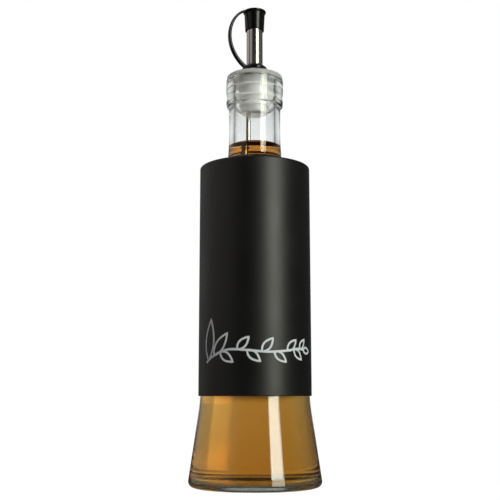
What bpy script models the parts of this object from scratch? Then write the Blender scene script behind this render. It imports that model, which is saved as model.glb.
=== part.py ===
"""A vinegar dispenser bottle: a flared glass bottle in a thin straight sleeve, filled into the neck, with a
ribbed plastic stopper, a steel spout and air tube, and a rubber cap held by a strap to a collar.

Metres, +Z up. The origin is the middle of the foot, on the table. The strap loops out on the -X side.
"""

import math

import bmesh
import bpy

# Glass bottle, outside
FOOT_RADIUS = 0.0345
FOOT_CORNER = 0.0032
BEARING_INNER = 0.0240
BEARING_STEP = (0.0006, 0.0005)
PUNT_RISE = 0.0010
PUNT_DOME = (0.55, 0.85)
FLARE_SLOPE = 0.146
BODY_RADIUS = 0.0284
FLARE_BLEND = 0.009
SHOULDER_START = 0.158
SHOULDER_ROUND = 0.010
SHOULDER_ANGLE = 55.0
NECK_ROOT_RADIUS = 0.01455
NECK_ROOT_ROUND = 0.0045
NECK_WAIST = (0.01360, 0.1895)
NECK_TOP_RADIUS = 0.0142
NECK_TOP = 0.2023
RING_RADIUS = 0.0157
RING_WAIST = 0.01542
RING_WAIST_DEPTH = 0.0096
RING_STRAIGHT = 0.0050
RING_BOTTOM = 0.2028
BEAD_RADIUS = 0.0156
BEAD_HEIGHT = 0.0023
BEAD_CHAMFER = 0.0008
LIP_TOP = 0.2181
LIP_ROUND = 0.0008

# Glass bottle, inside
WALL = 0.0026
BORE_RADIUS = 0.01075
FLOOR_HEIGHT = 0.0026
FLOOR_CORNER = 0.0035

# Vinegar, with its surface climbing the glass: steps in from the wall and up from the level
LIQUID_LEVEL = 0.1791
MENISCUS = ((0.0040, 0.0), (0.0014, 0.0007), (0.0, 0.0020))

# Sleeve
SLEEVE_FOOT = 0.0462
SLEEVE_TOP = 0.1681
SLEEVE_RADIUS = 0.02965
SLEEVE_WALL = 0.0007
SLEEVE_LIP_INNER = 0.0236
SLEEVE_CORNER = 0.0012

# Stopper
FLANGE_RADIUS = 0.0153
FLANGE_TOP = 0.2204
FLANGE_ROUND = 0.0009
BOSS_TOP = 0.2236
BOSS_RADIUS = 0.0068
BOSS_SIDE = (0.0072, 0.2228)
BOSS_FOOT_CORNER = 0.0074
BOSS_FOOT_RADIUS = 0.0088
CORE_RADIUS = 0.0086
RIB_RADIUS = 0.01045
RIB_THICKNESS = 0.0010
RIB_CHAMFER = 0.0004
RIB_BOTTOMS = (0.2133, 0.2073)
CORE_BOTTOM = 0.2024
PLUG_RADIUS = 0.0075
PLUG_ROUND = 0.0006
PLUG_BOTTOM = 0.1989
HOLLOW_RADIUS = 0.0062
HOLLOW_TOP = 0.2014
POUR_HOLE_RADIUS = 0.0031

# Spout and air tube
SPOUT_RADIUS = 0.0045
SPOUT_WALL = 0.0005
SPOUT_BOTTOM = 0.2123
SPOUT_TOP = 0.2560
AIR_TUBE_RADIUS = 0.00135
AIR_TUBE_WALL = 0.00045
AIR_TUBE_PLACE = (-0.0036, 0.0040)
AIR_TUBE_BOTTOM = 0.1300
AIR_TUBE_TOP = 0.2105

# Cap, strap and collar, one moulding
CAP_TOP = 0.2590
CAP_DOME = 0.0003
CAP_RIM_RADIUS = 0.0064
CAP_RIM_ROUND = 0.0004
CAP_RIM_BOTTOM = 0.2580
CAP_RIM_DRAFT = 0.00005
CAP_UNDERCUT = 0.0003
CAP_NECK_RADIUS = 0.00565
CAP_NECK_HEIGHT = 0.2567
CAP_MOUTH_RADIUS = 0.00525
CAP_BOTTOM = 0.2474
CAP_BOW = 0.00008
CAP_CHAMFER = 0.0002
CAP_INNER_CHAMFER = 0.0004
COLLAR_BOTTOM = 0.2239
COLLAR_TOP = 0.2269
COLLAR_RADIUS = 0.0070
COLLAR_TOP_RADIUS = 0.0052
COLLAR_EDGE = 0.0011
COLLAR_CHAMFER = 0.0005
STRAP_THICKNESS = 0.0017
STRAP_WIDTH = 0.0026
STRAP_TURN = 25.0
STRAP_ON_CAP = (0.0050, 0.2584)
STRAP_OFF_CAP = (0.0098, 0.2580)
STRAP_BULGE = (0.0151, 0.2426)
STRAP_BULGE_HANDLE = 0.0082
STRAP_ONTO_COLLAR = (0.0103, 0.2285)
STRAP_ON_COLLAR = (0.0061, 0.2259)
STRAP_TAPER = (0.78, 1.0, 1.1)

# Gap between pieces that touch, how far a cutter runs past a face, and how close points are merged
GAP = 0.0003
TUBE_GAP = 0.0002
CUT_PAST = 0.004
MERGE = 0.00002

# Facets round each turned piece
GLASS_SIDES = 48
LIQUID_SIDES = 40
SLEEVE_SIDES = 56
STOPPER_SIDES = 32
TUBE_SIDES = 32
AIR_TUBE_SIDES = 16


def clear_scene():
    for old in list(bpy.data.objects):
        bpy.data.objects.remove(old, do_unlink=True)


def new_collection(name):
    collection = bpy.data.collections.new(name)
    bpy.context.scene.collection.children.link(collection)
    return collection


def material(name, colour, roughness, metallic=0.0, transmission=0.0):
    made = bpy.data.materials.new(name)
    made.use_nodes = True
    shader = made.node_tree.nodes["Principled BSDF"]
    shader.inputs["Base Color"].default_value = (*colour, 1.0)
    shader.inputs["Roughness"].default_value = roughness
    shader.inputs["Metallic"].default_value = metallic
    shader.inputs["Transmission Weight"].default_value = transmission
    return made


def arc(centre, radius, start, end, steps):
    """Points on a circle in the profile plane, angles in degrees from +X towards +Z."""
    points = []
    for i in range(steps + 1):
        angle = math.radians(start + (end - start) * i / steps)
        points.append((centre[0] + radius * math.cos(angle), centre[1] + radius * math.sin(angle)))
    return points


def bend(start, corner, end, steps):
    """A smooth bend from start to end that is tangent to the lines through the corner."""
    points = []
    for i in range(steps + 1):
        t = i / steps
        a, b, c = (1 - t) ** 2, 2 * t * (1 - t), t**2
        points.append(tuple(a * start[k] + b * corner[k] + c * end[k] for k in range(2)))
    return points


def turned(name, profile, sides, collection, finish=None, ring=False):
    """A profile turned round Z. It runs down its outer side; a ring's profile is a closed loop."""
    mesh = bpy.data.meshes.new(name)
    edges = [(i, i + 1) for i in range(len(profile) - 1)]
    if ring:
        edges.append((len(profile) - 1, 0))
    mesh.from_pydata([(x, 0.0, z) for x, z in profile], edges, [])
    if finish:
        mesh.materials.append(finish)
    piece = bpy.data.objects.new(name, mesh)
    collection.objects.link(piece)
    screw = piece.modifiers.new("Turn", "SCREW")
    screw.axis = "Z"
    screw.steps = sides
    screw.render_steps = sides
    screw.use_merge_vertices = True
    screw.merge_threshold = MERGE
    screw.use_smooth_shade = True
    return piece


def cylinder(name, radius, bottom, top, sides, collection):
    mesh = bpy.data.meshes.new(name)
    shape = bmesh.new()
    bmesh.ops.create_cone(
        shape, cap_ends=True, segments=sides, radius1=radius, radius2=radius, depth=top - bottom
    )
    shape.to_mesh(mesh)
    shape.free()
    piece = bpy.data.objects.new(name, mesh)
    piece.location = (0.0, 0.0, (bottom + top) / 2)
    collection.objects.link(piece)
    return piece


def hide_helper(helper):
    helper.hide_render = True
    helper.display_type = "WIRE"


def add_boolean(piece, other, operation):
    cut = piece.modifiers.new(other.name, "BOOLEAN")
    cut.operation = operation
    cut.solver = "EXACT"
    cut.object = other


def flare_radius(height):
    """Radius of the foot's straight cone, before the blends."""
    return FOOT_RADIUS - FLARE_SLOPE * (height - FOOT_CORNER)


def flare_side(inset, bottom, steps):
    """The flare from the body down to the height bottom, set in from the outside by inset."""
    meet = FOOT_CORNER + (FOOT_RADIUS - BODY_RADIUS) / FLARE_SLOPE
    start = (BODY_RADIUS - inset, meet + FLARE_BLEND)
    corner = (BODY_RADIUS - inset, meet)
    end = (flare_radius(meet - FLARE_BLEND) - inset, meet - FLARE_BLEND)
    return bend(start, corner, end, steps) + [(flare_radius(bottom) - inset, bottom)]


def floor_corner(inset, floor):
    """Centre of the rounding between the inner floor and the flare, and the angle where it meets the flare."""
    tilt = math.atan(FLARE_SLOPE)
    height = floor + FLOOR_CORNER
    return (flare_radius(height) - inset - FLOOR_CORNER / math.cos(tilt), height), math.degrees(tilt)


def shoulder_side(inset, neck_radius, steps):
    """From the top of the neck's root down over the shoulder to the body, set in by inset."""
    tilt = math.radians(SHOULDER_ANGLE)
    centre = (BODY_RADIUS - SHOULDER_ROUND, SHOULDER_START)
    over = arc(centre, SHOULDER_ROUND - inset, SHOULDER_ANGLE, 0.0, steps)
    root_round = NECK_ROOT_ROUND + NECK_ROOT_RADIUS - neck_radius
    root_x = neck_radius + root_round
    foot_x = root_x - root_round * math.cos(tilt)
    foot_z = over[0][1] + (over[0][0] - foot_x) / math.tan(tilt)
    root_z = foot_z + root_round * math.sin(tilt)
    root = arc((root_x, root_z), root_round, 180.0, 180.0 + SHOULDER_ANGLE, steps)
    return root + over


def ring_side():
    """The thick ring round the mouth, from the lip down to the neck."""
    straight_end = LIP_TOP - LIP_ROUND - RING_STRAIGHT
    return [
        (RING_RADIUS, LIP_TOP - LIP_ROUND),
        (RING_RADIUS, straight_end),
        (RING_WAIST, LIP_TOP - RING_WAIST_DEPTH),
        (BEAD_RADIUS, RING_BOTTOM + BEAD_HEIGHT),
        (RING_WAIST, RING_BOTTOM + BEAD_CHAMFER),
        (RING_WAIST - BEAD_CHAMFER, RING_BOTTOM),
    ]


def glass_bottle(collection, finish):
    corner, tilt = floor_corner(WALL, FLOOR_HEIGHT)
    profile = [(0.0, FLOOR_HEIGHT)]
    profile += arc(corner, FLOOR_CORNER, -90.0, tilt, 5)
    profile += list(reversed(flare_side(WALL, corner[1], 4)[:-1]))
    profile += list(reversed(shoulder_side(WALL, BORE_RADIUS, 5)))
    profile.append((BORE_RADIUS, LIP_TOP - LIP_ROUND))
    profile += arc((BORE_RADIUS + LIP_ROUND, LIP_TOP - LIP_ROUND), LIP_ROUND, 135.0, 90.0, 1)
    profile += arc((RING_RADIUS - LIP_ROUND, LIP_TOP - LIP_ROUND), LIP_ROUND, 90.0, 45.0, 1)
    profile += ring_side()
    shoulder = shoulder_side(0.0, NECK_ROOT_RADIUS, 5)
    profile += bend((NECK_TOP_RADIUS, NECK_TOP), NECK_WAIST, shoulder[0], 5)
    profile += shoulder[1:]
    profile += flare_side(0.0, FOOT_CORNER, 4)
    profile += arc((FOOT_RADIUS - FOOT_CORNER, FOOT_CORNER), FOOT_CORNER, -15.0, -90.0, 4)
    profile.append((BEARING_INNER, 0.0))
    profile.append((BEARING_INNER - BEARING_STEP[0], BEARING_STEP[1]))
    profile.append((BEARING_INNER * PUNT_DOME[0], PUNT_RISE * PUNT_DOME[1]))
    profile.append((0.0, PUNT_RISE))
    return turned("glass_bottle", profile, GLASS_SIDES, collection, finish)


def vinegar(collection, cutters, finish):
    inset = WALL + GAP
    neck_radius = BORE_RADIUS - GAP
    floor = FLOOR_HEIGHT + GAP
    corner, tilt = floor_corner(inset, floor)
    profile = [(0.0, LIQUID_LEVEL)]
    profile += [(neck_radius - inwards, LIQUID_LEVEL + rise) for inwards, rise in MENISCUS]
    profile += shoulder_side(inset, neck_radius, 4)
    profile += flare_side(inset, corner[1], 3)[:-1]
    profile += arc(corner, FLOOR_CORNER, tilt, -90.0, 4)
    profile.append((0.0, floor))
    liquid = turned("vinegar", profile, LIQUID_SIDES, collection, finish)
    bottom, top = AIR_TUBE_BOTTOM - GAP, LIQUID_LEVEL + CUT_PAST
    well = cylinder("tube_well", AIR_TUBE_RADIUS + GAP, bottom, top, AIR_TUBE_SIDES, cutters)
    well.location.xy = AIR_TUBE_PLACE
    hide_helper(well)
    add_boolean(liquid, well, "DIFFERENCE")
    return liquid


def sleeve(collection, finish):
    inner = SLEEVE_RADIUS - SLEEVE_WALL
    under = SLEEVE_TOP - SLEEVE_WALL
    corner = (SLEEVE_RADIUS - SLEEVE_CORNER, SLEEVE_TOP - SLEEVE_CORNER)
    profile = [(SLEEVE_LIP_INNER, SLEEVE_TOP)]
    profile += arc(corner, SLEEVE_CORNER, 90.0, 0.0, 4)
    profile += [(SLEEVE_RADIUS, SLEEVE_FOOT), (inner, SLEEVE_FOOT)]
    profile += arc(corner, SLEEVE_CORNER - SLEEVE_WALL, 0.0, 90.0, 2)
    profile.append((SLEEVE_LIP_INNER, under))
    return turned("sleeve", profile, SLEEVE_SIDES, collection, finish, ring=True)


def stopper(collection, cutters, finish):
    flange_bottom = LIP_TOP + GAP
    spout_hole = SPOUT_RADIUS + GAP
    seat = SPOUT_BOTTOM - GAP
    profile = [(spout_hole, BOSS_TOP), (BOSS_RADIUS, BOSS_TOP)]
    profile += bend(BOSS_SIDE, (BOSS_FOOT_CORNER, FLANGE_TOP), (BOSS_FOOT_RADIUS, FLANGE_TOP), 3)
    corner = (FLANGE_RADIUS - FLANGE_ROUND, FLANGE_TOP - FLANGE_ROUND)
    profile += arc(corner, FLANGE_ROUND, 90.0, 0.0, 3)
    profile += [(FLANGE_RADIUS, flange_bottom), (CORE_RADIUS, flange_bottom)]
    for bottom in RIB_BOTTOMS:
        profile += [
            (CORE_RADIUS, bottom + RIB_THICKNESS + RIB_CHAMFER),
            (RIB_RADIUS, bottom + RIB_THICKNESS),
            (RIB_RADIUS, bottom + RIB_CHAMFER),
            (RIB_RADIUS - RIB_CHAMFER, bottom),
            (CORE_RADIUS, bottom),
        ]
    profile += [(CORE_RADIUS, CORE_BOTTOM + RIB_CHAMFER), (CORE_RADIUS - RIB_CHAMFER, CORE_BOTTOM)]
    profile.append((PLUG_RADIUS, CORE_BOTTOM))
    profile += arc((PLUG_RADIUS - PLUG_ROUND, PLUG_BOTTOM + PLUG_ROUND), PLUG_ROUND, 0.0, -90.0, 2)
    profile += [(HOLLOW_RADIUS, PLUG_BOTTOM), (HOLLOW_RADIUS, HOLLOW_TOP)]
    profile += [(POUR_HOLE_RADIUS, HOLLOW_TOP), (POUR_HOLE_RADIUS, seat), (spout_hole, seat)]
    body = turned("stopper", profile, STOPPER_SIDES, collection, finish, ring=True)
    hole_radius = AIR_TUBE_RADIUS + TUBE_GAP
    socket = cylinder("tube_socket", hole_radius, PLUG_BOTTOM - CUT_PAST, AIR_TUBE_TOP + GAP,
                      AIR_TUBE_SIDES, cutters)
    socket.location.xy = AIR_TUBE_PLACE
    hide_helper(socket)
    add_boolean(body, socket, "DIFFERENCE")
    return body


def tube(name, radius, wall, bottom, top, sides, collection, finish):
    inner, edge = radius - wall, wall * 0.3
    profile = [
        (inner, top),
        (radius - edge, top),
        (radius, top - edge),
        (radius, bottom),
        (inner, bottom),
    ]
    return turned(name, profile, sides, collection, finish, ring=True)


def strap(cutters):
    """A flat band along one curve, from inside the cap's rim to inside the collar."""
    turn = math.radians(STRAP_TURN)
    curve = bpy.data.curves.new("strap", "CURVE")
    curve.dimensions = "3D"
    curve.resolution_u = 9
    curve.bevel_depth = STRAP_THICKNESS / 2
    curve.bevel_resolution = 2
    curve.use_fill_caps = True
    spline = curve.splines.new("BEZIER")
    spline.bezier_points.add(2)
    reach = STRAP_BULGE[1]
    before = [STRAP_ON_CAP, (STRAP_BULGE[0], reach + STRAP_BULGE_HANDLE), STRAP_ONTO_COLLAR]
    after = [STRAP_OFF_CAP, (STRAP_BULGE[0], reach - STRAP_BULGE_HANDLE), STRAP_ON_COLLAR]
    middles = [STRAP_ON_CAP, STRAP_BULGE, STRAP_ON_COLLAR]
    for point, left, middle, right, size in zip(
        spline.bezier_points, before, middles, after, STRAP_TAPER
    ):
        point.handle_left_type = point.handle_right_type = "FREE"
        point.co = (-middle[0], 0.0, middle[1])
        point.handle_left = (-left[0], 0.0, left[1])
        point.handle_right = (-right[0], 0.0, right[1])
        point.radius = size
    drawn = bpy.data.objects.new("strap_curve", curve)
    drawn.scale = (1.0, STRAP_WIDTH / STRAP_THICKNESS, 1.0)
    drawn.rotation_euler = (0.0, 0.0, turn)
    cutters.objects.link(drawn)
    bpy.context.view_layer.update()
    graph = bpy.context.evaluated_depsgraph_get()
    mesh = bpy.data.meshes.new_from_object(drawn.evaluated_get(graph))
    shape = bmesh.new()
    shape.from_mesh(mesh)
    bmesh.ops.remove_doubles(shape, verts=shape.verts, dist=MERGE)
    bmesh.ops.recalc_face_normals(shape, faces=shape.faces)
    shape.to_mesh(mesh)
    shape.free()
    band = bpy.data.objects.new("strap", mesh)
    band.matrix_world = drawn.matrix_world
    cutters.objects.link(band)
    bpy.data.objects.remove(drawn)
    return band


def collar(cutters):
    inner = SPOUT_RADIUS + GAP
    edge = COLLAR_BOTTOM + COLLAR_EDGE
    profile = [
        (inner, COLLAR_TOP),
        (COLLAR_TOP_RADIUS, COLLAR_TOP),
        (COLLAR_RADIUS - COLLAR_CHAMFER / 2, edge + COLLAR_CHAMFER),
        (COLLAR_RADIUS, edge),
        (COLLAR_RADIUS, COLLAR_BOTTOM),
        (inner, COLLAR_BOTTOM),
    ]
    return turned("collar", profile, TUBE_SIDES, cutters, ring=True)


def cap_strap(collection, cutters, finish):
    inner = SPOUT_RADIUS + TUBE_GAP
    ceiling = SPOUT_TOP + GAP
    rim_centre = (CAP_RIM_RADIUS - CAP_RIM_ROUND, CAP_TOP - CAP_DOME - CAP_RIM_ROUND)
    profile = [(0.0, CAP_TOP)]
    profile += arc(rim_centre, CAP_RIM_ROUND, 90.0, 0.0, 3)
    profile.append((CAP_RIM_RADIUS - CAP_RIM_DRAFT, CAP_RIM_BOTTOM))
    profile += bend((CAP_RIM_RADIUS - CAP_UNDERCUT, CAP_RIM_BOTTOM - CAP_UNDERCUT),
                    (CAP_NECK_RADIUS, CAP_NECK_HEIGHT + CAP_UNDERCUT),
                    (CAP_NECK_RADIUS, CAP_NECK_HEIGHT), 3)
    profile += [
        ((CAP_NECK_RADIUS + CAP_MOUTH_RADIUS) / 2 - CAP_BOW, (CAP_NECK_HEIGHT + CAP_BOTTOM) / 2),
        (CAP_MOUTH_RADIUS, CAP_BOTTOM + CAP_CHAMFER),
        (CAP_MOUTH_RADIUS - CAP_CHAMFER, CAP_BOTTOM),
        (inner, CAP_BOTTOM),
        (inner, ceiling - CAP_INNER_CHAMFER),
        (inner - CAP_INNER_CHAMFER, ceiling),
        (0.0, ceiling),
    ]
    moulding = turned("cap_strap", profile, TUBE_SIDES, collection, finish)
    for other in (strap(cutters), collar(cutters)):
        hide_helper(other)
        add_boolean(moulding, other, "UNION")
    return moulding


def build():
    clear_scene()
    parts = new_collection("vinegar_dispenser_bottle")
    cutters = new_collection("cutters")
    steel = material("polished_steel", (0.62, 0.60, 0.57), 0.18, metallic=1.0)
    glass_bottle(parts, material("clear_glass", (0.93, 0.97, 0.95), 0.03, transmission=1.0))
    vinegar(parts, cutters, material("amber_vinegar", (0.42, 0.20, 0.05), 0.05))
    sleeve(parts, material("matt_black_coating", (0.014, 0.014, 0.015), 0.45))
    stopper(parts, cutters, material("milky_plastic", (0.72, 0.74, 0.74), 0.35))
    tube("spout", SPOUT_RADIUS, SPOUT_WALL, SPOUT_BOTTOM, SPOUT_TOP, TUBE_SIDES, parts, steel)
    air_tube = tube("air_tube", AIR_TUBE_RADIUS, AIR_TUBE_WALL, AIR_TUBE_BOTTOM, AIR_TUBE_TOP,
                    AIR_TUBE_SIDES, parts, steel)
    air_tube.location.xy = AIR_TUBE_PLACE
    cap_strap(parts, cutters, material("black_rubber", (0.010, 0.010, 0.010), 0.32))


build()
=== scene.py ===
import math

import bpy
from mathutils import Matrix, Vector


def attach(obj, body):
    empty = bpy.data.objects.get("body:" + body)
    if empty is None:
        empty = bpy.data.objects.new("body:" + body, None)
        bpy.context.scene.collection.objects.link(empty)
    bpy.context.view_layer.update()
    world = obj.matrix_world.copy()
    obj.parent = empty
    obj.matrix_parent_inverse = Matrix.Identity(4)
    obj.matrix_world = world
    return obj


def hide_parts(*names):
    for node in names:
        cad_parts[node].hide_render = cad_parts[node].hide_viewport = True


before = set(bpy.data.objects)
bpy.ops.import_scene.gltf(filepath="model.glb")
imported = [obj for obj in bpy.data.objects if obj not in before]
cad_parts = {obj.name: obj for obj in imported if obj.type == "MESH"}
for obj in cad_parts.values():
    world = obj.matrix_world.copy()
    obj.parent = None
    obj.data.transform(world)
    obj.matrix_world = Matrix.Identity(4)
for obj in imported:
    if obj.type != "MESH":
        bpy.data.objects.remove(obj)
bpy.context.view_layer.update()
scene = bpy.context.scene


class Wire:
    # one output of a node: sums on wires add Math nodes, and node() adds any other kind
    def __init__(self, tree, socket=None):
        self.tree = tree
        self.socket = socket

    def feed(self, socket, value):
        if isinstance(value, Wire):
            self.tree.links.new(value.socket, socket)
        elif socket.type == "RGBA" and len(value) == 3:
            socket.default_value = (*value, 1.0)
        else:
            socket.default_value = value

    def node(self, kind, settings=None, inputs=None, output=0):
        made = self.tree.nodes.new("ShaderNode" + kind)
        for key, value in (settings or {}).items():
            if key == "stops":
                ends = made.color_ramp.elements
                ends[0].position, ends[0].color = value[0][0], (*value[0][1], 1.0)
                ends[1].position, ends[1].color = value[-1][0], (*value[-1][1], 1.0)
                for place, shade in value[1:-1]:
                    ends.new(place).color = (*shade, 1.0)
            else:
                setattr(made, key, value)
        for key, value in (inputs or {}).items():
            self.feed(made.inputs[key], value)
        return Wire(self.tree, made.outputs[output])

    def sum(self, operation, first, second=0.0):
        return self.node("Math", {"operation": operation}, {0: first, 1: second})

    def __add__(self, other):
        return self.sum("ADD", self, other)

    def __radd__(self, other):
        return self.sum("ADD", other, self)

    def __sub__(self, other):
        return self.sum("SUBTRACT", self, other)

    def __rsub__(self, other):
        return self.sum("SUBTRACT", other, self)

    def __mul__(self, other):
        return self.sum("MULTIPLY", self, other)

    def __rmul__(self, other):
        return self.sum("MULTIPLY", other, self)

    def between(self, low, high, first=0.0, last=1.0):
        # runs smoothly from first to last while this wire goes from low to high
        return self.node(
            "MapRange",
            {"interpolation_type": "SMOOTHSTEP"},
            {"Value": self, "From Min": low, "From Max": high, "To Min": first, "To Max": last},
        )

    def tint(self, first, last):
        return self.node(
            "Mix", {"data_type": "RGBA"}, {"Factor": self, 6: first, 7: last}, output=2
        )


def finish(name, sockets):
    # a material with its fixed values on the shader's own sockets
    material = bpy.data.materials.new(name)
    material.use_nodes = True
    wire = Wire(material.node_tree)
    shader = material.node_tree.nodes["Principled BSDF"]
    for key, value in sockets.items():
        wire.feed(shader.inputs[key], value)
    return material, wire, shader


def grain(wire, scale, detail=2.0, stretch=(1.0, 1.0, 1.0)):
    # noise in the part's own metres, so scale is in waves per metre
    place = wire.node("TexCoord", output=3)
    place = wire.node("VectorMath", {"operation": "MULTIPLY"}, {0: place, 1: stretch})
    return wire.node("TexNoise", {}, {"Vector": place, "Scale": scale, "Detail": detail})


def relief(wire, shader, height, strength, distance):
    bump = wire.node("Bump", {}, {"Height": height, "Strength": strength, "Distance": distance})
    wire.feed(shader.inputs["Normal"], bump)


def absorb(wire, colour, density):
    volume = wire.node("VolumeAbsorption", {}, {"Color": colour, "Density": density})
    output = wire.tree.nodes["Material Output"]
    wire.feed(output.inputs["Volume"], volume)


# Shapes

def arc(centre, radius, start, end, steps):
    # points on a circle in the profile plane, in degrees from +X towards +Z
    angles = [math.radians(start + (end - start) * i / steps) for i in range(steps + 1)]
    return [(centre[0] + radius * math.cos(a), centre[1] + radius * math.sin(a)) for a in angles]


def bend(start, corner, end, steps):
    points = []
    for i in range(steps + 1):
        t = i / steps
        a, b, c = (1 - t) ** 2, 2 * t * (1 - t), t * t
        points.append(tuple(a * start[k] + b * corner[k] + c * end[k] for k in range(2)))
    return points


def rounded(corners, steps=6):
    # a profile through (radius, height, rounding) corners
    points = []
    for i, (x, z, rounding) in enumerate(corners):
        here = Vector((x, z))
        if rounding <= 0.0 or i in (0, len(corners) - 1):
            points.append((x, z))
            continue
        before = Vector(corners[i - 1][:2]) - here
        after = Vector(corners[i + 1][:2]) - here
        half = before.angle(after) / 2
        reach = min(rounding / math.tan(half), before.length * 0.49, after.length * 0.49)
        points += bend(here + before.normalized() * reach, here, here + after.normalized() * reach, steps)
    return points


def addMesh(name, points, faces, material, sharp=35.0):
    mesh = bpy.data.meshes.new(name)
    mesh.from_pydata(points, [], faces)
    mesh.materials.append(material)
    mesh.shade_smooth()
    mesh.set_sharp_from_angle(angle=math.radians(sharp))
    piece = bpy.data.objects.new(name, mesh)
    scene.collection.objects.link(piece)
    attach(piece, "root")
    return piece


def braced(profile, long=0.003, close=0.0004):
    # a point close to both ends of every long straight keeps its shading straight
    points = [profile[0]]
    for a, b in zip(profile, profile[1:]):
        length = math.dist(a, b)
        if length > long:
            for t in (close / length, 1 - close / length):
                points.append(tuple(a[k] + (b[k] - a[k]) * t for k in range(2)))
        points.append(b)
    return points


def spin(name, profile, sides, material, closed=False, shape=None, sharp=35.0):
    # turns (radius, height) points round Z: the profile runs down its outer side and up its inner one
    points, rings, faces = [], [], []
    for radius, height in braced(profile):
        count = 1 if radius < 1e-7 else sides
        ring = []
        for i in range(count):
            angle = 2 * math.pi * i / count
            place = (radius * math.cos(angle), radius * math.sin(angle), height)
            ring.append(len(points))
            points.append(shape(place, radius, angle) if shape else place)
        rings.append(ring)
    pairs = list(zip(rings, rings[1:]))
    if closed:
        pairs.append((rings[-1], rings[0]))
    for upper, lower in pairs:
        for i in range(sides):
            j = (i + 1) % sides
            corners = ((upper, i), (lower, i), (lower, j), (upper, j))
            face = list(dict.fromkeys(ring[k % len(ring)] for ring, k in corners))
            if len(face) > 2:
                faces.append(face)
    return addMesh(name, points, faces, material, sharp)


# Glass bottle

glassShape = {
    "footRadius": 0.0345, "footCorner": 0.0032, "footAngle": -12.0,
    "bearingInner": 0.0240, "bearingStep": 0.0005, "puntRise": 0.0010,
    "bearingRound": (0.0002, 0.0006, 0.0009),  # where its inner edge starts, turns and ends, inwards
    "flareSlope": 0.146, "bodyRadius": 0.0284, "flareBlend": 0.009,
    "shoulderStart": 0.158, "shoulderRound": 0.010, "shoulderAngle": 55.0,
    "neckRoot": 0.01455, "neckRootRound": 0.0045, "neckWaist": (0.0136, 0.1895), "neckTop": (0.0142, 0.2023),
    "ringSide": [  # corners from the lip down, as (radius, height, rounding)
        (0.0157, 0.2122, 0.004), (0.01542, 0.2082, 0.004), (0.01562, 0.2052, 0.0012),
        (0.01535, 0.2030, 0.0012), (0.01425, 0.2026, 0.0006),
    ],
    "lipTop": 0.2181, "lipRounds": (0.0010, 0.0005), "bore": 0.01075, "boreStart": 0.200,
    "wall": 0.0026, "floor": 0.0026, "floorCorner": 0.0035,
    "knurls": (108, 5), "knurlDepth": 0.0006, "knurlMargin": 0.0012, "knurlTop": 0.0016, "knurlFade": 1.6,
    "sides": 432, "roundSteps": 14, "flareSteps": 10, "shoulderSteps": 12, "flatRings": 36, "puntRings": 10,
}


def flareRadius(height):
    g = glassShape
    return g["footRadius"] - g["flareSlope"] * (height - g["footCorner"])


def flareSide(inset, bottom):
    g = glassShape
    meet = g["footCorner"] + (g["footRadius"] - g["bodyRadius"]) / g["flareSlope"]
    blend = g["flareBlend"]
    start = (g["bodyRadius"] - inset, meet + blend)
    end = (flareRadius(meet - blend) - inset, meet - blend)
    return bend(start, (start[0], meet), end, g["flareSteps"]) + [(flareRadius(bottom) - inset, bottom)]


def floorCorner(inset, floor):
    # the rounding between the inner floor and the flare, and the angle where they meet
    g = glassShape
    tilt = math.atan(g["flareSlope"])
    height = floor + g["floorCorner"]
    return (flareRadius(height) - inset - g["floorCorner"] / math.cos(tilt), height), math.degrees(tilt)


def shoulderSide(inset, neckRadius):
    g = glassShape
    steps = g["shoulderSteps"]
    tilt = math.radians(g["shoulderAngle"])
    centre = (g["bodyRadius"] - g["shoulderRound"], g["shoulderStart"])
    over = arc(centre, g["shoulderRound"] - inset, g["shoulderAngle"], 0.0, steps)
    rootRound = g["neckRootRound"] + g["neckRoot"] - neckRadius
    rootX = neckRadius + rootRound
    footX = rootX - rootRound * math.cos(tilt)
    footZ = over[0][1] + (over[0][0] - footX) / math.tan(tilt)
    rootZ = footZ + rootRound * math.sin(tilt)
    return arc((rootX, rootZ), rootRound, 180.0, 180.0 + g["shoulderAngle"], steps) + over


def knurledFoot(place, radius, angle):
    # the fine knurls that the bottle stands on, in rows round the bearing ring
    g = glassShape
    x, y, z = place
    inner, outer = g["bearingInner"], g["footRadius"] - g["knurlMargin"]
    if z < g["knurlTop"] and inner < radius < outer:
        across = (radius - inner) / (outer - inner)
        turns, rows = g["knurls"]
        stud = (0.5 + 0.5 * math.cos(turns * angle)) * (0.5 + 0.5 * math.cos(2 * math.pi * rows * across))
        z += g["knurlDepth"] * (1.0 - stud) * min(1.0, g["knurlFade"] * math.sin(math.pi * across))
    return (x, y, z)


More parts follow.
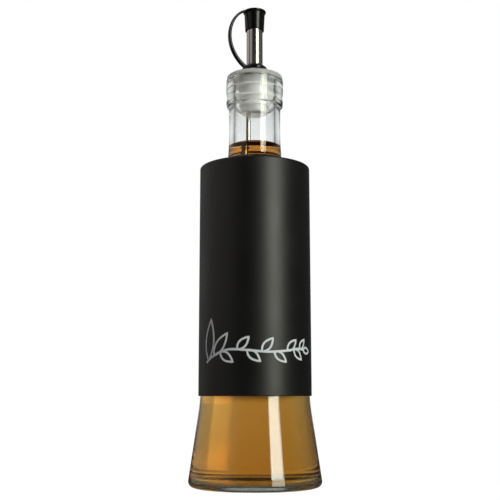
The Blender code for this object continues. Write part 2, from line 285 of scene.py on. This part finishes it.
def makeGlass(material):
    g = glassShape
    lip, ring, bore, steps = g["lipTop"], g["ringSide"][0][0], g["bore"], g["roundSteps"]
    corner, tilt = floorCorner(g["wall"], g["floor"])
    inside = shoulderSide(g["wall"], bore) + flareSide(g["wall"], corner[1])[:-1]
    profile = [(0.0, g["floor"])]
    profile += arc(corner, g["floorCorner"], -90.0, tilt, steps)
    profile += inside[::-1]
    inner, outer = g["lipRounds"]
    profile += rounded([
        (bore, g["boreStart"], 0), (bore, lip, inner), (ring, lip, outer), *g["ringSide"], (*g["neckTop"], 0),
    ])
    shoulder = shoulderSide(0.0, g["neckRoot"])
    profile += bend(g["neckTop"], g["neckWaist"], shoulder[0], steps)[1:]
    profile += shoulder[1:]
    profile += flareSide(0.0, g["footCorner"])
    flat, bearing = g["footRadius"] - g["footCorner"], g["bearingInner"]
    profile += arc((flat, g["footCorner"]), g["footCorner"], g["footAngle"], -90.0, steps)
    rings = g["flatRings"]
    profile += [(flat + (bearing - flat) * i / rings, 0.0) for i in range(1, rings + 1)]
    start, turn, hollow = (bearing - back for back in g["bearingRound"])
    step, rise, rings = g["bearingStep"], g["puntRise"], g["puntRings"]
    profile += bend((start, 0.0), (turn, 0.0), (hollow, step), 4)
    for i in range(rings - 1, 0, -1):
        profile.append((hollow * i / rings, rise - (rise - step) * (i / rings) ** 2))
    profile.append((0.0, rise))
    glass = spin("glassBottle", profile, g["sides"], material, shape=knurledFoot, sharp=50.0)
    glass.visible_shadow = False
    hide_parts("glass_bottle")


glassFinish, wire, shader = finish("clearGlass", {
    "Base Color": (0.99, 0.995, 0.99), "Roughness": 0.0, "IOR": 1.51, "Transmission Weight": 1.0,
})
relief(wire, shader, grain(wire, 55.0, 1.0, (1.0, 1.0, 0.35)), 0.05, 0.0006)
absorb(wire, (0.60, 0.78, 0.66), 12.0)
makeGlass(glassFinish)
print("glass bottle made")

# Vinegar, which reaches just into the glass so that no air shows between them

vinegarShape = {
    "level": 0.1791, "meniscusRise": 0.0020, "meniscusReach": 0.0017, "meniscusPower": 0.8,
    "surfaceRings": 64, "surfaceSpacing": 1.5, "overlap": 0.00005, "sides": 192,
    "tube": (-0.0036, 0.0040), "tubeRadius": 0.00135,
    "climbRise": 0.0009, "climbReach": 0.0009, "climbField": 0.0105,
    "neckShadeHeights": (0.160, 0.168),
}


def wetTube(place, radius, angle):
    # the surface climbs the air tube a little
    v = vinegarShape
    x, y, z = place
    if z > v["level"] - 1e-6 and radius < v["climbField"]:
        gap = math.hypot(x - v["tube"][0], y - v["tube"][1]) - v["tubeRadius"]
        z += v["climbRise"] * math.exp(-max(gap, 0.0) / v["climbReach"])
    return (x, y, z)


def makeVinegar(material):
    g, v = glassShape, vinegarShape
    inset = g["wall"] - v["overlap"]
    neck = g["bore"] + v["overlap"]
    floor = g["floor"] - v["overlap"]
    corner, tilt = floorCorner(inset, floor)
    profile = [(0.0, v["level"])]
    rings = v["surfaceRings"]
    for i in range(1, rings + 1):
        radius = neck * (1 - (1 - i / rings) ** v["surfaceSpacing"])
        gap = (neck - radius) / v["meniscusReach"]
        rise = v["meniscusRise"] * math.exp(-(gap ** v["meniscusPower"]))
        profile.append((radius, v["level"] + rise))
    profile += shoulderSide(inset, neck)
    profile += flareSide(inset, corner[1])[:-1]
    profile += arc(corner, g["floorCorner"], tilt, -90.0, g["roundSteps"])
    profile.append((0.0, floor))
    vinegar = spin("vinegarFill", profile, v["sides"], material, shape=wetTube)
    vinegar.visible_shadow = False
    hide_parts("vinegar")


vinegarFinish, wire, shader = finish("amberVinegar", {
    "Base Color": (1.0, 1.0, 1.0), "Roughness": 0.0, "IOR": 1.34, "Transmission Weight": 1.0,
})
# painted shade: the vinegar is tinted darker and more orange from the sleeve's top up into the neck, for the
# shade it sits in there
height = wire.node("SeparateXYZ", {}, {0: wire.node("TexCoord", output=3)}, output=2)
paintedNeckShade = height.between(*vinegarShape["neckShadeHeights"])
wire.feed(shader.inputs["Base Color"], paintedNeckShade.tint((1.0, 1.0, 1.0), (0.80, 0.44, 0.16)))
absorb(wire, (0.82, 0.61, 0.06), 72.0)
makeVinegar(vinegarFinish)
print("vinegar made")

# Sleeve

sleeveShape = {
    "foot": 0.0462, "top": 0.1681, "radius": 0.02965, "wall": 0.0007, "lipInner": 0.0236,
    "corner": 0.0011, "lipRound": 0.0003, "edge": 0.0002, "innerCorner": 0.0005, "sides": 288,
}


def makeSleeve(material):
    s = sleeveShape
    inner, lip, under = s["radius"] - s["wall"], s["lipInner"], s["top"] - s["wall"]
    seam = (lip, s["top"] - s["wall"] / 2, 0)
    profile = rounded([
        seam, (lip, s["top"], s["lipRound"]), (s["radius"], s["top"], s["corner"]),
        (s["radius"], s["foot"], s["edge"]), (inner, s["foot"], s["edge"]), (inner, under, s["innerCorner"]),
        (lip, under, s["edge"]), seam,
    ])[:-1]
    sleeve = spin("blackSleeve", profile, s["sides"], material, closed=True)
    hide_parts("sleeve")


sleeveFinish, wire, shader = finish("mattBlackCoating", {
    "Base Color": (0.002, 0.002, 0.0024), "Roughness": 0.43, "Specular IOR Level": 0.54,
})
peel = grain(wire, 1500.0, 3.0)
cloud = grain(wire, 45.0, 3.0)
wire.feed(shader.inputs["Roughness"], cloud.between(0.3, 0.7, 0.41, 0.45))
shade = cloud.between(0.3, 0.7).tint((0.0008, 0.0008, 0.0012), (0.0018, 0.0018, 0.0024))
wire.feed(shader.inputs["Base Color"], shade)
relief(wire, shader, peel, 0.10, 0.00006)
makeSleeve(sleeveFinish)
print("sleeve made")

# Stopper: a ribbed plug of milky plastic with its flange on the lip

stopperShape = {
    "flange": 0.0153, "flangeTop": 0.2204, "flangeBottom": 0.21813, "flangeRound": 0.0009,
    "bossTop": 0.2236, "boss": 0.0068, "bossFoot": 0.0073, "spoutSeat": (0.00455, 0.2121),
    "core": 0.0086, "rib": 0.01079, "ribBottoms": (0.2133, 0.2073), "ribThickness": 0.0010,
    "ribSlopes": (0.0004, 0.0002, 0.0003),  # above the root, below the top's edge, above the bottom's edge
    "coreBottom": 0.2024, "plug": 0.0075, "plugBottom": 0.1989, "hollow": (0.0062, 0.2014),
    "pourHole": 0.0031, "sides": 144,
}


def makeStopper(material):
    s = stopperShape
    hole, seat = s["spoutSeat"]
    seam = (hole, s["bossTop"] - 0.001, 0)
    corners = [
        seam, (hole, s["bossTop"], 0.0002), (s["boss"], s["bossTop"], 0.0004),
        (s["bossFoot"], s["flangeTop"], 0.0012), (s["flange"], s["flangeTop"], s["flangeRound"]),
        (s["flange"], s["flangeBottom"], 0.0001), (s["core"], s["flangeBottom"], 0.0004),
    ]
    rootRise, topDrop, bottomRise = s["ribSlopes"]
    for bottom in s["ribBottoms"]:
        top = bottom + s["ribThickness"]
        corners += [
            (s["core"], top + rootRise, 0.0003), (s["rib"], top - topDrop, 0.0002),
            (s["rib"], bottom + bottomRise, 0.0002), (s["core"], bottom, 0.0003),
        ]
    corners += [
        (s["core"], s["coreBottom"], 0.0008), (s["plug"], s["coreBottom"], 0.0003),
        (s["plug"], s["plugBottom"], 0.0006), (s["hollow"][0], s["plugBottom"], 0.0004),
        (*s["hollow"], 0.0006), (s["pourHole"], s["hollow"][1], 0.0003), (s["pourHole"], seat, 0.0002),
        (hole, seat, 0.0001), seam,
    ]
    profile = rounded(corners, 4)[:-1]
    stopper = spin("ribbedStopper", profile, s["sides"], material, closed=True)
    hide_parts("stopper")


stopperFinish, wire, shader = finish("milkyPlastic", {
    "Base Color": (0.54, 0.53, 0.56), "Roughness": 0.34, "IOR": 1.5, "Subsurface Weight": 1.0,
    "Subsurface Radius": (1.0, 0.95, 0.9), "Subsurface Scale": 0.020,
})
relief(wire, shader, grain(wire, 900.0, 3.0), 0.08, 0.00008)
makeStopper(stopperFinish)
print("stopper made")

# Spout and air tube, drawn steel

tubeShape = {  # each tube as (radius, wall, bottom, top)
    "spout": (0.0045, 0.0005, 0.2123, 0.2560), "air": (vinegarShape["tubeRadius"], 0.00045, 0.1300, 0.2105),
    "airPlace": vinegarShape["tube"], "edge": 0.35, "sides": 128,
}


def makeTube(name, size, material, node, place=(0.0, 0.0)):
    radius, wall, bottom, top = size
    inner, edge = radius - wall, wall * tubeShape["edge"]
    seam = (inner, (bottom + top) / 2, 0)
    profile = rounded([
        seam, (inner, top, edge), (radius, top, edge), (radius, bottom, edge), (inner, bottom, edge), seam,
    ], 4)[:-1]
    tube = spin(name, profile, tubeShape["sides"], material, closed=True,
                shape=lambda spot, radius, angle: (spot[0] + place[0], spot[1] + place[1], spot[2]))
    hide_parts(node)


steelFinish, wire, shader = finish("drawnSteel", {
    "Base Color": (0.66, 0.64, 0.61), "Metallic": 1.0, "Roughness": 0.17,
})
draw = grain(wire, 700.0, 3.0, (1.0, 1.0, 0.03))
wire.feed(shader.inputs["Roughness"], draw.between(0.3, 0.7, 0.12, 0.24))
wire.feed(shader.inputs["Base Color"], draw.between(0.35, 0.65).tint((0.60, 0.58, 0.55), (0.70, 0.68, 0.65)))
relief(wire, shader, draw, 0.05, 0.00005)
makeTube("pourSpout", tubeShape["spout"], steelFinish, "spout")
makeTube("airTube", tubeShape["air"], steelFinish, "air_tube", tubeShape["airPlace"])
print("tubes made")

# Rubber cap, strap and collar

rubberShape = {
    "capTop": 0.2590, "rim": 0.0064, "rimBottom": 0.2580, "neck": (0.00565, 0.2567),
    "capDome": ((0.003, 0.00004), (0.0050, 0.00012)), "capCeiling": 0.2562,
    "mouth": 0.00525, "capBottom": 0.2474, "inner": 0.00455,
    "collar": (0.0070, 0.0052), "collarHeights": (0.2239, 0.2250, 0.2269),
    "strapTurn": 25.0, "thickness": 0.0017, "width": 0.0026, "taper": (0.74, 1.0, 1.12), "roundness": 0.7,
    "sides": 128,
    "strapPoints": [  # each point of the path with its two handles, as (reach, height)
        ((0.0040, 0.2586), (0.0044, 0.2585), (0.0098, 0.2580)),
        ((0.0151, 0.2508), (0.0151, 0.2426), (0.0151, 0.2344)),
        ((0.0103, 0.2285), (0.0058, 0.2257), (0.0056, 0.2256)),
    ],
}


def makeCap(material):
    r = rubberShape
    top, inner, ceiling = r["capTop"], r["inner"], r["capCeiling"]
    dome = [(radius, top - drop) for radius, drop in r["capDome"]]
    profile = [(0.0, top), *dome]
    profile += rounded([
        (*dome[-1], 0), (r["rim"], top - 0.0003, 0.0004), (r["rim"] - 0.00005, r["rimBottom"], 0.0006),
        (r["neck"][0] + 0.00005, r["neck"][1] + 0.0002, 0.0020), (r["mouth"], r["capBottom"], 0.00015),
        (inner, r["capBottom"], 0.00015), (inner, ceiling, 0.0003), (0.0, ceiling, 0),
    ])[1:]
    cap = spin("rubberCap", profile, r["sides"], material)
    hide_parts("cap_strap")


def makeCollar(material):
    r = rubberShape
    outer, upper = r["collar"]
    low, edge, high = r["collarHeights"]
    inner = r["inner"]
    seam = (inner, (low + high) / 2, 0)
    profile = rounded([
        seam, (inner, high, 0.0002), (upper, high, 0.0003), (outer - 0.0002, edge + 0.0004, 0.0005),
        (outer, low, 0.0004), (inner, low, 0.0002), seam,
    ])[:-1]
    spin("rubberCollar", profile, r["sides"], material, closed=True)


def cubic(a, b, c, d, t):
    s = 1 - t
    return tuple(s**3 * a[k] + 3 * s * s * t * b[k] + 3 * s * t * t * c[k] + t**3 * d[k] for k in range(2))


def makeStrap(material, steps=40, around=24):
    # a flat band with round edges, swept along two curves in one upright plane
    r = rubberShape
    path, sizes = [], []
    for i, (one, other) in enumerate(zip(r["strapPoints"], r["strapPoints"][1:])):
        for k in range(steps + (i == 1)):
            t = k / steps
            path.append(Vector(cubic(one[1], one[2], other[0], other[1], t)))
            sizes.append(r["taper"][i] + (r["taper"][i + 1] - r["taper"][i]) * t)
    turn = Matrix.Rotation(math.radians(r["strapTurn"]), 3, "Z")
    points, faces = [], []
    last = len(path) - 1
    for i, (here, size) in enumerate(zip(path, sizes)):
        along = (path[min(i + 1, last)] - path[max(i - 1, 0)]).normalized()
        side = Vector((along.y, -along.x))
        for k in range(around):
            angle = 2 * math.pi * k / around
            c, s = math.cos(angle), math.sin(angle)
            across = math.copysign(abs(c) ** r["roundness"], c) * r["width"] / 2 * size
            out = math.copysign(abs(s) ** r["roundness"], s) * r["thickness"] / 2 * size
            spot = here + side * out
            points.append(turn @ Vector((-spot.x, across, spot.y)))
    for i in range(last):
        for k in range(around):
            j = (k + 1) % around
            a, b = i * around, (i + 1) * around
            faces.append([a + k, a + j, b + j, b + k])
    faces.append(list(range(around))[::-1])
    faces.append([last * around + k for k in range(around)])
    addMesh("rubberStrap", points, faces, material, 60.0)


rubberFinish, wire, shader = finish("blackRubber", {
    "Base Color": (0.002, 0.002, 0.0022), "Roughness": 0.23, "Specular IOR Level": 0.44,
})
dust = grain(wire, 260.0, 4.0)
wire.feed(shader.inputs["Roughness"], dust.between(0.3, 0.7, 0.19, 0.27))
relief(wire, shader, grain(wire, 2500.0, 2.0), 0.06, 0.00005)
makeCap(rubberFinish)
makeCollar(rubberFinish)
makeStrap(rubberFinish)
print("cap, strap and collar made")

# Printed sprig on the sleeve, drawn in millimetres

sprigShape = {
    "radius": sleeveShape["radius"], "proud": 0.00005, "sunk": 0.00010, "middle": 3.7, "height": 0.0623,
    "line": 1.3, "stemShare": 0.9, "leafShare": 0.8,
    "leafPower": 0.85,  # below 1 the leaf is widest nearer to its foot
    "stem": [
        (-31.0, 0.6), (-25.0, 4.0), (-16.0, 6.8), (-6.0, 6.4),
        (4.0, 5.6), (14.0, 6.2), (22.0, 7.4), (27.0, 7.0),
    ],
    "leaves": [  # each as (share of the stem, angle, length, breadth)
        (0.05, 84.0, 21.0, 6.4), (0.14, 52.0, 14.0, 5.0), (0.22, -34.0, 9.0, 4.0), (0.35, 46.0, 8.6, 3.8),
        (0.42, -40.0, 8.6, 3.8), (0.53, 50.0, 8.8, 3.8), (0.62, -38.0, 8.2, 3.6), (0.73, 44.0, 8.0, 3.6),
        (0.80, -42.0, 7.6, 3.4), (0.90, 50.0, 6.4, 3.0), (0.985, -6.0, 6.4, 3.0),
    ],
}


def onSleeve(u, v, radius):
    # u along the sleeve and v up it, both in millimetres from the print's lower middle
    angle = math.radians(sprigShape["middle"]) + u / 1000 / sprigShape["radius"]
    return (radius * math.sin(angle), -radius * math.cos(angle), sprigShape["height"] + v / 1000)


def addRibbon(points, faces, line, width, closed=False):
    # one printed line: a thin closed band that follows the sleeve
    s = sprigShape
    first = len(points)
    count = len(line)
    for i, spot in enumerate(line):
        before = line[i - 1] if i or closed else line[i]
        after = line[(i + 1) % count] if i < count - 1 or closed else line[i]
        along = (Vector(after) - Vector(before)).normalized()
        side = Vector((-along.y, along.x)) * (width / 2)
        for sign, radius in ((1, s["proud"]), (-1, s["proud"]), (-1, -s["sunk"]), (1, -s["sunk"])):
            edge = Vector(spot) + side * sign
            points.append(onSleeve(edge.x, edge.y, s["radius"] + radius))
    for i in range(count if closed else count - 1):
        a, b = first + 4 * i, first + 4 * ((i + 1) % count)
        for k in range(4):
            j = (k + 1) % 4
            faces.append([a + k, b + k, b + j, a + j])
    if not closed:
        faces.append([first + k for k in range(4)])
        faces.append([first + 4 * (count - 1) + k for k in (3, 2, 1, 0)])


def smoothLine(spots, steps=8):
    # a curve through the spots
    line = []
    for i in range(len(spots) - 1):
        p = [Vector(spots[min(max(i + k, 0), len(spots) - 1)]) for k in (-1, 0, 1, 2)]
        for k in range(steps):
            t = k / steps
            first = (p[2] - p[0]) * t
            second = (2 * p[0] - 5 * p[1] + 4 * p[2] - p[3]) * t * t
            third = (3 * p[1] - p[0] - 3 * p[2] + p[3]) * t**3
            line.append(0.5 * (2 * p[1] + first + second + third))
    return line + [Vector(spots[-1])]


def leafLine(foot, angle, length, breadth, steps=14):
    # a pointed leaf's outline, from its foot round and back
    outline = []
    ways = Vector((math.cos(math.radians(angle)), math.sin(math.radians(angle))))
    side = Vector((-ways.y, ways.x))
    for sign in (1, -1):
        for i in range(steps):
            t = i / steps if sign > 0 else 1 - i / steps
            bulge = math.sin(math.pi * t ** sprigShape["leafPower"]) * breadth / 2
            outline.append(Vector(foot) + ways * (length * t) + side * (bulge * sign))
    return outline


def makeSprig(material):
    s = sprigShape
    points, faces = [], []
    stem = smoothLine(s["stem"])
    addRibbon(points, faces, stem, s["line"] * s["stemShare"])
    for place, angle, length, breadth in s["leaves"]:
        foot = stem[round(place * (len(stem) - 1))]
        leaf = leafLine(foot, angle, length, breadth)
        addRibbon(points, faces, leaf, s["line"] * s["leafShare"], closed=True)
    addMesh("printedSprig", points, faces, material, 30.0)


inkFinish, wire, shader = finish("silverInk", {
    "Base Color": (0.82, 0.86, 0.95), "Roughness": 0.5,
})
speck = grain(wire, 1800.0, 2.0)
wire.feed(shader.inputs["Base Color"], speck.between(0.3, 0.7).tint((0.78, 0.82, 0.91), (0.86, 0.90, 0.98)))
makeSprig(inkFinish)
print("print made")

# Studio: a white floor and field, a tall softbox on the right, and what the glass sees by direction

studio = {
    "distance": 0.477, "height": 0.0462, "pitch": 9.2144, "roll": -0.02, "side": -0.0026, "lens": 64.8,
    "keyAzimuth": 39.0, "keyDistance": 0.75, "keyMiddle": 0.30, "keyWidth": 0.29, "keyHeight": 1.1,
    "keyPower": 6.7, "keyColour": (0.97, 1.0, 0.86),
    # the last colour here is painted light: amber, as if shone through the vinegar onto the floor under the
    # foot
    "fieldColour": (0.97, 0.98, 1.0), "leftColour": (1.0, 0.95, 0.89), "paintedAmberLight": (1.0, 0.86, 0.60),
    "backLevel": 0.86, "leftLevel": 0.40, "leftThrough": 2.0, "rightLevel": 0.085, "frontLevel": 0.02,
    "frontSeenThrough": 0.05, "sidesSeenThrough": 0.62, "skyLeast": 0.03,
    # the floor's glow for each kind of ray; the level under the foot is a painted shadow
    "floorSeen": 1.0, "floorThrough": 1.36, "floorReflected": 0.02, "paintedShadowLevel": 0.06,
    "floorSizes": (0.046, 6.0), "floorDrop": 0.0002, "paintedShadowReach": (0.036, 0.046), "floorSides": 64,
    # where each field begins and ends, in degrees of azimuth
    "backField": (146.0, 178.0), "sideField": (134.0, 156.0), "leftField": (-54.0, -24.0),
    "rightField": (68.0, 84.0), "frontField": (52.0, 70.0), "floorField": (100.0, 125.0),
    "straightField": (96.0, 118.0),
    # by the height of the direction, from -1 straight down to 1 straight up
    "horizon": (-0.08, -0.03), "bandTop": (0.15, 0.23), "topFade": (0.36, 0.43, 1.0, 0.35),
    "skyFade": (0.208, 0.358, 1.04, 0.86),
    "floorLevels": [  # round the back from azimuth 120 on the right to 240 on the left
        (0.075, 0.48), (0.142, 0.50), (0.267, 0.55), (0.283, 0.70), (0.300, 0.92), (0.379, 0.92),
        (0.389, 0.85), (0.400, 0.75), (0.408, 0.65), (0.500, 0.65), (0.633, 0.58), (0.667, 0.56),
        (0.717, 0.49), (0.783, 0.43), (0.817, 0.36), (0.867, 0.27), (0.933, 0.30), (1.0, 0.25),
    ],
    "skyLevels": [  # from 60 degrees off the camera's side to straight behind the bottle
        (0.0, 0.02), (0.333, 0.02), (0.417, 0.04), (0.500, 0.12), (0.583, 0.45), (0.667, 0.70),
        (0.750, 0.80), (0.833, 0.94), (1.0, 0.95),
    ],
}


def makeCamera():
    lens = bpy.data.cameras.new("camera")
    lens.sensor_width = 36.0
    lens.lens = studio["lens"]
    camera = bpy.data.objects.new("camera", lens)
    scene.collection.objects.link(camera)
    tilt = Matrix.Rotation(math.radians(90.0 + studio["pitch"]), 4, "X")
    roll = Matrix.Rotation(math.radians(studio["roll"]), 4, "Z")
    place = Matrix.Translation((studio["side"], -studio["distance"], studio["height"]))
    camera.matrix_world = place @ tilt @ roll
    scene.camera = camera


def makeSoftbox():
    light = bpy.data.lights.new("softbox", "AREA")
    light.shape = "RECTANGLE"
    light.size, light.size_y = studio["keyWidth"], studio["keyHeight"]
    light.energy = studio["keyPower"]
    light.color = studio["keyColour"]
    panel = bpy.data.objects.new("softbox", light)
    angle, distance = math.radians(studio["keyAzimuth"]), studio["keyDistance"]
    panel.location = (distance * math.sin(angle), -distance * math.cos(angle), studio["keyMiddle"])
    inward = Vector((-panel.location.x, -panel.location.y, 0.0))
    panel.rotation_mode = "QUATERNION"
    panel.rotation_quaternion = inward.to_track_quat("-Z", "Y")
    panel.visible_camera = False
    scene.collection.objects.link(panel)


def bearings(wire, place):
    # the three parts of a place or direction, and its azimuth: 0 is the camera's side and 90 the right
    split = wire.node("SeparateXYZ", {}, {0: place})
    x, y, z = (Wire(wire.tree, socket) for socket in split.socket.node.outputs)
    return x, y, z, wire.sum("ARCTAN2", x, y * -1.0) * (180.0 / math.pi)


def rays(wire, *names):
    outputs = wire.node("LightPath").socket.node.outputs
    return [Wire(wire.tree, outputs[name]) for name in names]


def lookUp(place, levels):
    # the brightness at a place from 0 to 1 in a list of levels
    stops = [(at, (level, level, level)) for at, level in levels]
    return place.node("ValToRGB", {"stops": stops}, {0: place})


def floorLight(wire, azimuth, off):
    # what the glass sees of the bright floor behind the bottle
    around = (wire.sum("FLOORED_MODULO", azimuth, 360.0) - 120.0) * (1.0 / 120.0)
    return lookUp(around, studio["floorLevels"]) * studio["floorThrough"] * off.between(*studio["floorField"])


def makeSurround():
    # what reflections and the glass see, by direction
    world = bpy.data.worlds.new("surround")
    world.use_nodes = True
    scene.world = world
    wire = Wire(world.node_tree)
    z, azimuth = bearings(wire, wire.node("TexCoord"))[2:]
    off = wire.sum("ABSOLUTE", azimuth)
    back = off.between(*studio["backField"])
    side = off.between(*studio["sideField"], 1.0, 0.0)
    left = azimuth.between(*studio["leftField"], 1.0, 0.0) * side
    right = azimuth.between(*studio["rightField"]) * side
    front = 1.0 - off.between(*studio["frontField"])
    seen, through, diffuseDepth, glossyDepth = rays(
        wire, "Is Camera Ray", "Is Transmission Ray", "Diffuse Depth", "Glossy Depth")
    soft = wire.sum("GREATER_THAN", diffuseDepth, 0.5)
    base = studio["frontLevel"] + back * studio["backLevel"] + left * studio["leftLevel"]
    base = base + right * studio["rightLevel"]
    above = lookUp((off - 60.0) * (1.0 / 120.0), studio["skyLevels"]) * z.between(*studio["skyFade"])
    above = above * wire.sum("MAXIMUM", soft, z.between(*studio["bandTop"]) * z.between(*studio["topFade"]))
    above = above + front * studio["frontSeenThrough"] + left * soft * studio["leftThrough"]
    below = floorLight(wire, azimuth, off)
    risen = z.between(*studio["horizon"])
    beyond = wire.node("Mix", {"data_type": "FLOAT"}, {0: risen, 2: below, 3: above + studio["skyLeast"]})
    straight = wire.sum("LESS_THAN", glossyDepth, 0.5) * (1.0 - soft)
    beyond = beyond + straight * off.between(*studio["straightField"], 1.0, 0.0) * studio["sidesSeenThrough"]
    base = wire.node("Mix", {"data_type": "FLOAT"}, {0: through, 2: base, 3: beyond})
    level = wire.node("Mix", {"data_type": "FLOAT"}, {0: seen, 2: base, 3: 1.0})
    tone = (left * (1.0 - seen)).tint(studio["fieldColour"], studio["leftColour"])
    tone = seen.tint(tone, (1.0, 1.0, 1.0))
    shade = world.node_tree.nodes["Background"]
    wire.feed(shade.inputs["Color"], tone)
    wire.feed(shade.inputs["Strength"], level)


def makeFloor():
    # one disc close round the foot, which the glass sees, and the wide floor round it, which it doesn't; the
    # floor glows plain white for the camera, while for the glass the disc glows with painted floor light by
    # azimuth and a painted shadow under the foot, tinted amber as painted light through the vinegar
    material, wire, shader = finish("paperWhite", {
        "Base Color": (0.05, 0.05, 0.05), "Roughness": 0.9, "Specular IOR Level": 0.0,
    })
    seen, through = rays(wire, "Is Camera Ray", "Is Transmission Ray")
    x, y, _, azimuth = bearings(wire, wire.node("TexCoord", output=3))
    clear = wire.sum("SQRT", x * x + y * y).between(*studio["paintedShadowReach"])
    bright = floorLight(wire, azimuth, wire.sum("ABSOLUTE", azimuth)) * clear
    # painted shadow: the floor close under the foot glows dark for the glass
    shadow = (1.0 - clear) * studio["paintedShadowLevel"]
    glow = seen * studio["floorSeen"] + through * (bright + shadow) + (1.0 - seen) * studio["floorReflected"]
    # painted light: the shadow under the foot is tinted amber, as if lit through the vinegar; the camera and
    # the clear floor get white
    wire.feed(shader.inputs["Emission Color"], (clear + seen).tint(studio["paintedAmberLight"], (1.0, 1.0, 1.0)))
    wire.feed(shader.inputs["Emission Strength"], glow)
    sides, drop = studio["floorSides"], studio["floorDrop"]
    turns = [2 * math.pi * i / sides for i in range(sides)]
    inner, outer = (
        [(size * math.cos(a), size * math.sin(a), -drop) for a in turns] for size in studio["floorSizes"])
    disc = [list(range(sides))]
    band = [[i, (i + 1) % sides, sides + (i + 1) % sides, sides + i] for i in range(sides)]
    for name, points, faces in (("floorNear", inner, disc), ("floorFar", inner + outer, band)):
        mesh = bpy.data.meshes.new(name)
        mesh.from_pydata(points, [], faces)
        mesh.materials.append(material)
        floor = bpy.data.objects.new(name, mesh)
        scene.collection.objects.link(floor)
        floor.visible_transmission = name == "floorNear"


makeCamera()
makeSurround()
makeFloor()
makeSoftbox()

scene.view_settings.view_transform = "Standard"
scene.cycles.max_bounces = 24
scene.cycles.transmission_bounces = 24
scene.cycles.transparent_max_bounces = 16
scene.cycles.glossy_bounces = 8
scene.cycles.diffuse_bounces = 4
scene.cycles.sample_clamp_indirect = 6.0
scene.cycles.use_denoising = True
print("studio made")

bpy.context.view_layer.update()
